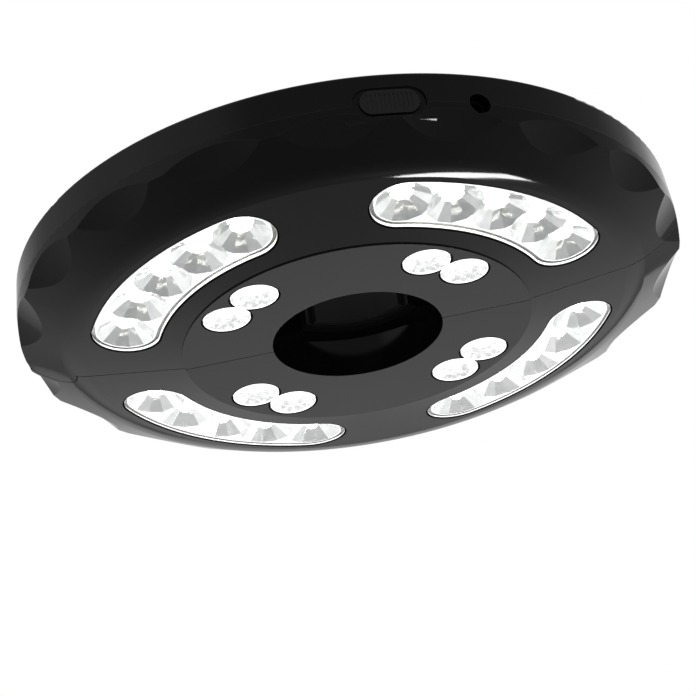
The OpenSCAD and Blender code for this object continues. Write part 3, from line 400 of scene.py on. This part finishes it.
along_arc = shell_step("ABSOLUTE", shell_step("SUBTRACT", rim_r, window_r))
round_end = reach_from(window_r, window_end)
in_arc = shell_step("LESS_THAN", rim_turn, window_end)
window_line = shell_step(
    "ADD", shell_step("MULTIPLY", along_arc, in_arc),
    shell_step("MULTIPLY", round_end, shell_step("SUBTRACT", 1.0, in_arc)),
)
window_reach = shell_step("SUBTRACT", window_line, window_half)
twin_reach = shell_step("SUBTRACT", reach_from(twin_r, twin_turn), twin_half)
rim_reach = shell_step("MINIMUM", window_reach, twin_reach)
rim_fade = new_node(
    shell_tree, "ShaderNodeMapRange", interpolation_type="SMOOTHSTEP", From_Min=0.00055, From_Max=0.0003
)
shell_tree.links.new(rim_reach, rim_fade.inputs["Value"])
below_cover = shell_step("LESS_THAN", rim_axes.outputs["Z"], 0.012)
near_edge = shell_step("GREATER_THAN", rim_reach, -0.001)
painted_rim_shade = shell_step("MULTIPLY", rim_fade.outputs[0], shell_step("MULTIPLY", below_cover, near_edge))
# Painted shade: the reflection fades out in the line round the openings.
shell_tree.links.new(
    shell_step("MULTIPLY_ADD", painted_rim_shade, -0.5, 0.5),
    shell_tree.nodes["Principled BSDF"].inputs["Specular IOR Level"],
)
dress(polished_black, "lower_shell_a", "lower_shell_b")

# ---- Reflector strips --------------------------------------------------------------------------
# Moulded strips of five faceted cups that run into each other, metallised all over. They
# follow the slope of the windows, drop in from behind and let a lamp through each cup.


def two_tones(tree, dark, light, start=0.0, end=1.0):
    """A colour ramp from a darker to a lighter tone."""
    ramp = new_node(tree, "ShaderNodeValToRGB")
    for stop, place_on_ramp, tone in zip(ramp.color_ramp.elements, (start, end), (dark, light)):
        stop.position = place_on_ramp
        stop.color = (*tone, 1)
    return ramp


reflector, reflector_tree, reflector_shader = principled("reflector_metal", Metallic=1.0)
cup_place = new_node(reflector_tree, "ShaderNodeTexCoord")
haze_blotch = new_node(reflector_tree, "ShaderNodeTexNoise", Scale=260.0, Detail=3.0)
haze_level = new_node(reflector_tree, "ShaderNodeMapRange", To_Min=0.04, To_Max=0.12)
plating = two_tones(reflector_tree, (0.82, 0.83, 0.82), (0.93, 0.93, 0.92), 0.35, 0.6)
cup_crease = new_node(reflector_tree, "ShaderNodeBevel", samples=6, Radius=0.0001)
orange_peel = new_node(reflector_tree, "ShaderNodeTexNoise", Scale=500.0, Detail=2.0)
peel_bump = new_node(reflector_tree, "ShaderNodeBump", Strength=0.1, Distance=0.0003)
chain(
    reflector_tree,
    (cup_place.outputs["Object"], haze_blotch.inputs["Vector"]),
    (haze_blotch.outputs["Fac"], haze_level.inputs["Value"]),
    (haze_level.outputs[0], reflector_shader.inputs["Roughness"]),
    (haze_blotch.outputs["Fac"], plating.inputs["Fac"]),
    (plating.outputs["Color"], reflector_shader.inputs["Base Color"]),
    (cup_place.outputs["Object"], orange_peel.inputs["Vector"]),
    (orange_peel.outputs["Fac"], peel_bump.inputs["Height"]),
    (cup_crease.outputs["Normal"], peel_bump.inputs["Normal"]),
    (peel_bump.outputs["Normal"], reflector_shader.inputs["Normal"]),
)

# The flat lands between the cups and the throats round the lamps glow white by emission: painted light,
# standing in for the lamps' light on them.
glowing_land, land_tree, land_shader = principled("reflector_land_glow", Roughness=0.35, Emission_Strength=0.9)
land_place = new_node(land_tree, "ShaderNodeTexCoord")
land_blotch = new_node(land_tree, "ShaderNodeTexNoise", Scale=180.0, Detail=2.0)
land_tone_and_glow = two_tones(land_tree, (0.86, 0.86, 0.85), (0.97, 0.97, 0.96))
chain(
    land_tree,
    (land_place.outputs["Object"], land_blotch.inputs["Vector"]),
    (land_blotch.outputs["Fac"], land_tone_and_glow.inputs["Fac"]),
    (land_tone_and_glow.outputs["Color"], land_shader.inputs["Base Color"]),
    (land_tone_and_glow.outputs["Color"], land_shader.inputs["Emission Color"]),
)

hub_r = 0.056  # the cone begins here
hub_step = 0.00045  # and starts this far above the hub plate
window_slope = math.radians(7.7)
strip_sunk = 0.00175  # the strip's front lies this far behind the shell's surface
strip_back = 0.0094
strip_half = 0.0092  # half a strip's width
arc_steps = 32
end_steps = 10
end_share = 0.999  # the round ends stop just short of their tip, which keeps a face there
cup_pitch = math.radians(12.7)
cup_facets = 12
cup_mouth = 0.0092
cup_throat = 0.0036
cup_depth = 0.0038
cup_above = 0.002  # a cup's cutter starts this far in front of the strip
cup_below = 0.004  # and runs this far on behind the throat
cup_twist = 0.013  # keeps the edges of neighbouring cutters from coinciding
window_turns = (-135, -45, 45, 135)


def land_z(radius):
    """Height of the strip's front face, which follows the underside's slope."""
    return hub_step + (radius - hub_r) * math.tan(window_slope) + strip_sunk


def strip_block(turn):
    """The strip before its cups are cut: a curved bar with round ends."""
    stations = []
    for i in range(-end_steps, 1):
        stations.append((-window_end, math.sin(i / end_steps * math.pi / 2) * end_share))
    for i in range(1, arc_steps):
        stations.append((-window_end + 2 * window_end * i / arc_steps, 0.0))
    for i in range(0, end_steps + 1):
        stations.append((window_end, math.sin(i / end_steps * math.pi / 2) * end_share))
    block = bmesh.new()
    rings = []
    for angle, past in stations:
        half = strip_half * math.sqrt(1 - past * past)
        along = Vector((-math.sin(angle), math.cos(angle), 0)) * past * strip_half
        out = Vector((math.cos(angle), math.sin(angle), 0))
        edge = [out * (window_r - half) + along, out * (window_r + half) + along]
        low = [Vector((p.x, p.y, land_z(math.hypot(p.x, p.y)))) for p in edge]
        high = [Vector((p.x, p.y, strip_back)) for p in reversed(edge)]
        spin = Matrix.Rotation(turn, 3, "Z")
        rings.append([block.verts.new(spin @ p) for p in low + high])
    for one, two in zip(rings, rings[1:]):
        for k in range(4):
            block.faces.new((one[k], one[(k + 1) % 4], two[(k + 1) % 4], two[k]))
    block.faces.new(rings[0][::-1])
    block.faces.new(rings[-1])
    bmesh.ops.recalc_face_normals(block, faces=block.faces)
    return block


def cup_cutter(turn, twist):
    """One cup's space: a flat-sided cone from the mouth to the throat, and a straight throat."""
    slope = (cup_mouth - cup_throat) / cup_depth
    rings = []
    cutter = bmesh.new()
    middle = Vector((window_r, 0, land_z(window_r)))
    lean = Matrix.Rotation(-window_slope, 3, "Y")
    levels = [
        (-cup_above, cup_mouth + cup_above * slope),
        (cup_depth, cup_throat),
        (cup_depth + cup_below, cup_throat),
    ]
    for depth, radius in levels:
        ring = []
        for k in range(cup_facets):
            a = 2 * math.pi * (k + 0.5) / cup_facets + twist
            p = middle + lean @ Vector((radius * math.cos(a), radius * math.sin(a), depth))
            ring.append(cutter.verts.new(Matrix.Rotation(turn, 3, "Z") @ p))
        rings.append(ring)
    for one, two in zip(rings, rings[1:]):
        for k in range(cup_facets):
            cutter.faces.new((one[k], one[(k + 1) % cup_facets], two[(k + 1) % cup_facets], two[k]))
    cutter.faces.new(rings[0][::-1])
    cutter.faces.new(rings[-1])
    bmesh.ops.recalc_face_normals(cutter, faces=cutter.faces)
    return cutter


def mesh_object(name, shape, *materials):
    """Turns a bmesh into an object with these materials."""
    data = bpy.data.meshes.new(name)
    shape.to_mesh(data)
    shape.free()
    for material in materials:
        data.materials.append(material)
    thing = bpy.data.objects.new(name, data)
    scene.collection.objects.link(thing)
    return thing


def cut_away(thing, cutters):
    """Cuts shapes out of an object for good, one after another."""
    for cutter in cutters:
        step = thing.modifiers.new("cut", "BOOLEAN")
        step.solver = "EXACT"
        step.operation = "DIFFERENCE"
        step.object = cutter
        bpy.context.view_layer.update()
        ready = thing.evaluated_get(bpy.context.evaluated_depsgraph_get())
        data = bpy.data.meshes.new_from_object(ready)
        thing.modifiers.clear()
        thing.data = data
        bpy.data.objects.remove(cutter)


def half_at(degrees):
    """The half of the light that a window or lens at this angle belongs to."""
    return "half_a" if degrees < 0 else "half_b"


front_normal = Vector((math.sin(window_slope), 0, -math.cos(window_slope)))
for number, degrees in enumerate(window_turns, 1):
    turn = math.radians(degrees)
    strip = mesh_object(f"cup_strip_{number}", strip_block(turn), reflector, glowing_land)
    cut_away(strip, [
        mesh_object("cutter", cup_cutter(turn + step * cup_pitch, cup_twist * step), reflector)
        for step in (-2, -1, 0, 1, 2)
    ])
    turn_back = Matrix.Rotation(-turn, 3, "Z")
    for face in strip.data.polygons:
        upright = abs(face.normal.z) < 0.3
        flat = (turn_back @ face.normal).dot(front_normal) > 0.995
        face.material_index = 1 if flat or upright else 0
    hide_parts(f"arc_reflector_{number}")
    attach(strip, half_at(degrees))

# ---- Window lenses -----------------------------------------------------------------------------
# Curved windows moulded in clear acrylic, with a hidden rim glued to the shell's inside.
# Their side walls glow by emission, painted light standing in for the lamps' light they pick up, and
# show as a bright line round each window.


def clear_plastic(name, roughness):
    """Clear acrylic with faint moulding ripples and side walls that glow with painted light."""
    material, tree, shader = principled(
        name, Base_Color=(0.97, 0.98, 0.98, 1), IOR=1.49, Transmission_Weight=1.0,
        Emission_Color=(1, 1, 1, 1),
    )
    where = new_node(tree, "ShaderNodeTexCoord")
    ripple = new_node(tree, "ShaderNodeTexNoise", Scale=90.0, Detail=1.0)
    bump = new_node(tree, "ShaderNodeBump", Strength=0.04, Distance=0.001)
    haze = new_node(tree, "ShaderNodeMapRange", To_Min=roughness * 0.5, To_Max=roughness * 1.5)
    facing = new_node(tree, "ShaderNodeNewGeometry")
    facing_axes = new_node(tree, "ShaderNodeSeparateXYZ")
    tree.links.new(facing.outputs["True Normal"], facing_axes.inputs[0])
    steepness = math_step(tree, "ABSOLUTE", facing_axes.outputs["Z"])
    # Painted light: the steep side walls glow by emission.
    side_wall_glow = math_step(tree, "LESS_THAN", steepness, 0.35)
    chain(
        tree,
        (where.outputs["Object"], ripple.inputs["Vector"]),
        (ripple.outputs["Fac"], bump.inputs["Height"]),
        (bump.outputs["Normal"], shader.inputs["Normal"]),
        (ripple.outputs["Fac"], haze.inputs["Value"]),
        (haze.outputs[0], shader.inputs["Roughness"]),
        (math_step(tree, "MULTIPLY", side_wall_glow, 0.7), shader.inputs["Emission Strength"]),
    )
    return material


window_clear = clear_plastic("window_clear", 0.02)
dress(window_clear, *[f"arc_lens_{i}" for i in range(1, 5)])

# ---- Twin lenses -------------------------------------------------------------------------------
# Two round lenses moulded together, flush with the hub. The back of each is cut in
# triangular facets that mirror the light, with a flat over the lamp in the middle.

# Painted light: the facets glow by emission in their own tone, and the flat over the lamp glows like
# the lands.
glowing_facet_mirror, facet_tree, facet_shader = principled("lens_facets", Metallic=1.0, Emission_Strength=0.3)
facet_place = new_node(facet_tree, "ShaderNodeTexCoord")
facet_cloud = new_node(facet_tree, "ShaderNodeTexNoise", Scale=420.0, Detail=2.0)
facet_tone_and_glow = two_tones(facet_tree, (0.78, 0.79, 0.79), (0.97, 0.97, 0.97), 0.35, 0.6)
facet_haze = new_node(facet_tree, "ShaderNodeMapRange", To_Min=0.02, To_Max=0.1)
chain(
    facet_tree,
    (facet_place.outputs["Object"], facet_cloud.inputs["Vector"]),
    (facet_cloud.outputs["Fac"], facet_tone_and_glow.inputs["Fac"]),
    (facet_cloud.outputs["Fac"], facet_haze.inputs["Value"]),
    (facet_tone_and_glow.outputs["Color"], facet_shader.inputs["Base Color"]),
    (facet_tone_and_glow.outputs["Color"], facet_shader.inputs["Emission Color"]),
    (facet_haze.outputs[0], facet_shader.inputs["Roughness"]),
)

lens_sides = 12
round_sides = 4 * lens_sides
lens_r = 0.00745
lens_front_z = 0.0001
lens_girdle_z = 0.0014  # the clear rim ends here and the facets begin
belt_r, belt_z = 0.0055, 0.0034
crown_r, crown_z = 0.0034, 0.0062


def lens_ring(lens, middle, start, count, radius, z, shift):
    """Points on a circle round the lens's axis."""
    points = []
    for k in range(count):
        a = 2 * math.pi * (k + shift) / count + start
        points.append(lens.verts.new(middle + Vector((radius * math.cos(a), radius * math.sin(a), z))))
    return points


def add_lens(lens, angle):
    """One lens of a pair: a clear drum with a faceted back and a flat crown."""
    middle = Vector((twin_r * math.cos(angle), twin_r * math.sin(angle), 0))
    front = lens_ring(lens, middle, angle, round_sides, lens_r, lens_front_z, 0)
    girdle = lens_ring(lens, middle, angle, round_sides, lens_r, lens_girdle_z, 0)
    belt = lens_ring(lens, middle, angle, lens_sides, belt_r, belt_z, 0.5)
    crown = lens_ring(lens, middle, angle, lens_sides, crown_r, crown_z, 0)
    lens.faces.new(front[::-1])
    for k in range(round_sides):
        after = (k + 1) % round_sides
        lens.faces.new((front[k], front[after], girdle[after], girdle[k]))
    for k in range(lens_sides):
        after = (k + 1) % lens_sides
        edge = [girdle[(4 * k + i) % round_sides] for i in range(5)]
        for one, two in zip(edge, edge[1:]):
            lens.faces.new((one, two, belt[k])).material_index = 1
        lens.faces.new((edge[-1], belt[after], belt[k])).material_index = 1
        lens.faces.new((belt[k], belt[after], crown[after])).material_index = 1
        lens.faces.new((belt[k], crown[after], crown[k])).material_index = 1
    lens.faces.new(crown).material_index = 2


for number, degrees in enumerate(window_turns, 1):
    lens = bmesh.new()
    for side in (-1, 1):
        add_lens(lens, math.radians(degrees) + side * twin_turn)
    bmesh.ops.recalc_face_normals(lens, faces=lens.faces)
    twin = mesh_object(f"twin_optic_{number}", lens, window_clear, glowing_facet_mirror, glowing_land)
    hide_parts(f"twin_lens_{number}")
    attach(twin, half_at(degrees))

# ---- Lamp boards and lamps ---------------------------------------------------------------------
# White-masked circuit boards on the shell's posts, each with fourteen surface-mounted
# lamps facing down: a white housing round a lit, warm-white dome.

lamp_board_material, board_tree, board_shader = principled("lamp_board", Roughness=0.45)
board_place = new_node(board_tree, "ShaderNodeTexCoord")
board_blotch = new_node(board_tree, "ShaderNodeTexNoise", Scale=120.0, Detail=3.0)
board_ramp = two_tones(board_tree, (0.66, 0.67, 0.64), (0.78, 0.79, 0.76), 0.42, 0.6)
chain(
    board_tree,
    (board_place.outputs["Object"], board_blotch.inputs["Vector"]),
    (board_blotch.outputs["Fac"], board_ramp.inputs["Fac"]),
    (board_ramp.outputs["Color"], board_shader.inputs["Base Color"]),
)
dress(lamp_board_material, "lamp_board_a", "lamp_board_b")

lit_lamp, lamp_tree, lamp_shader = principled("lit_lamp", Roughness=0.4, Emission_Strength=14.0)
lamp_axes = new_node(lamp_tree, "ShaderNodeSeparateXYZ")
# Everything of a lamp below this height is its dome; above it is the housing.
lamp_low = new_node(lamp_tree, "ShaderNodeMapRange", From_Min=0.0088, From_Max=0.0087)
lamp_body = new_node(
    lamp_tree, "ShaderNodeMix", data_type="RGBA", A=(0.8, 0.8, 0.78, 1), B=(0.9, 0.75, 0.25, 1)
)
lamp_glow = new_node(
    lamp_tree, "ShaderNodeMix", data_type="RGBA", A=(0, 0, 0, 1), B=(1.0, 0.985, 0.96, 1)
)
lamp_place = new_node(lamp_tree, "ShaderNodeTexCoord")
chain(
    lamp_tree,
    (lamp_place.outputs["Object"], lamp_axes.inputs[0]),
    (lamp_axes.outputs["Z"], lamp_low.inputs["Value"]),
    (lamp_low.outputs[0], lamp_body.inputs["Factor"]),
    (lamp_low.outputs[0], lamp_glow.inputs["Factor"]),
    (lamp_body.outputs["Result"], lamp_shader.inputs["Base Color"]),
    (lamp_glow.outputs["Result"], lamp_shader.inputs["Emission Color"]),
)
dress(lit_lamp, "lamps_a", "lamps_b")

# ---- Switch, socket and control board ----------------------------------------------------------
# A ribbed push button in the rim works a small push switch through its plunger;
# the charging socket sits beside it, and both are wired to a green control board.

satin_black = plastic(
    "satin_black", (0.010, 0.010, 0.011), (0.05, 0.05, 0.05), 0.36,
    grain_size=1500.0, grain_depth=0.25, dust=0.2,
)
dress(satin_black, "power_button", "switch_plunger", "charging_socket")

bare_metal, metal_tree, metal_shader = principled("nickel_steel", Metallic=1.0)
metal_place = new_node(metal_tree, "ShaderNodeTexCoord")
metal_scratch = new_node(metal_tree, "ShaderNodeTexNoise", Scale=600.0, Detail=4.0)
metal_rough = new_node(metal_tree, "ShaderNodeMapRange", To_Min=0.18, To_Max=0.42)
metal_ramp = two_tones(metal_tree, (0.52, 0.52, 0.51), (0.72, 0.72, 0.73))
metal_bump = new_node(metal_tree, "ShaderNodeBump", Strength=0.1, Distance=0.0002)
chain(
    metal_tree,
    (metal_place.outputs["Object"], metal_scratch.inputs["Vector"]),
    (metal_scratch.outputs["Fac"], metal_rough.inputs["Value"]),
    (metal_rough.outputs[0], metal_shader.inputs["Roughness"]),
    (metal_scratch.outputs["Fac"], metal_ramp.inputs["Fac"]),
    (metal_ramp.outputs["Color"], metal_shader.inputs["Base Color"]),
    (metal_scratch.outputs["Fac"], metal_bump.inputs["Height"]),
    (metal_bump.outputs["Normal"], metal_shader.inputs["Normal"]),
)
dress(bare_metal, "tact_switch")

green_board, green_tree, green_shader = principled("control_board", Roughness=0.35)
green_place = new_node(green_tree, "ShaderNodeTexCoord")
green_lines = new_node(
    green_tree, "ShaderNodeTexBrick", Scale=60.0,
    Color1=(0.015, 0.12, 0.05, 1), Color2=(0.02, 0.16, 0.07, 1), Mortar=(0.008, 0.07, 0.03, 1),
)
chain(
    green_tree,
    (green_place.outputs["Object"], green_lines.inputs["Vector"]),
    (green_lines.outputs["Color"], green_shader.inputs["Base Color"]),
)
dress(green_board, "control_board")

# ---- Hinge pin, snap catch and lead ------------------------------------------------------------
# A steel pin joins the knuckles, a springy natural-white arm snaps behind the
# other half's seam wall, and a round lead carries current past the hinge.

dress(bare_metal, "hinge_pin")
natural_white = plastic(
    "natural_white", (0.62, 0.61, 0.56), (0.7, 0.69, 0.65), 0.4, dust=0.1, grain_depth=0.1
)
dress(natural_white, "snap_catch")
lead_black = plastic("lead_black", (0.012, 0.012, 0.012), (0.03, 0.03, 0.03), 0.55)
dress(lead_black, "link_cable")

# ---- Clamp jaws --------------------------------------------------------------------------------
# Two moulded satin black jaws slide in the covers' guides, pushed by two steel springs
# each. A grippy rubber pad lines the hollow face of each jaw.

dress(satin_black, "clamp_jaw_a", "clamp_jaw_b")
rubber = plastic(
    "pad_rubber", (0.02, 0.02, 0.02), (0.05, 0.05, 0.05), 0.75, grain_size=2200.0, grain_depth=0.6
)
dress(rubber, "jaw_pad_a", "jaw_pad_b")
dress(bare_metal, "jaw_springs_a", "jaw_springs_b")

# ---- Top covers --------------------------------------------------------------------------------
# Moulded in the same polished black, screwed down on the lower shells. They hold the
# battery compartments, the jaws' guides and the hooks' pockets.

dress(polished_black, "top_cover_a", "top_cover_b")

# ---- Batteries ---------------------------------------------------------------------------------
# Two round cells in each half with plain dark jackets, nickel-plated contacts
# with a coil at one end, and a door with a springy tab over them.

cell_jacket, cell_tree, cell_shader = principled("cell_jacket", Roughness=0.3, Metallic=0.4)
cell_place = new_node(cell_tree, "ShaderNodeTexCoord")
cell_noise = new_node(cell_tree, "ShaderNodeTexNoise", Scale=80.0)
cell_ramp = two_tones(cell_tree, (0.03, 0.032, 0.036), (0.08, 0.082, 0.09))
chain(
    cell_tree,
    (cell_place.outputs["Object"], cell_noise.inputs["Vector"]),
    (cell_noise.outputs["Fac"], cell_ramp.inputs["Fac"]),
    (cell_ramp.outputs["Color"], cell_shader.inputs["Base Color"]),
)
dress(cell_jacket, "cells_a", "cells_b")
dress(bare_metal, "battery_contacts_a", "battery_contacts_b")
dress(polished_black, "battery_door_a", "battery_door_b")

# ---- Hanging hooks -----------------------------------------------------------------------------
# Open rings moulded in tough satin black plastic. Each turns on its own stub pins in the
# walls of its pocket, and folds flat into it.

dress(satin_black, "hanging_hook_a", "hanging_hook_b")

# ---- Screws ------------------------------------------------------------------------------------
# Cross-headed steel screws hold the covers on the lower shells and the boards on their posts.

dress(bare_metal, "case_screws_a", "case_screws_b", "board_screws_a", "board_screws_b")
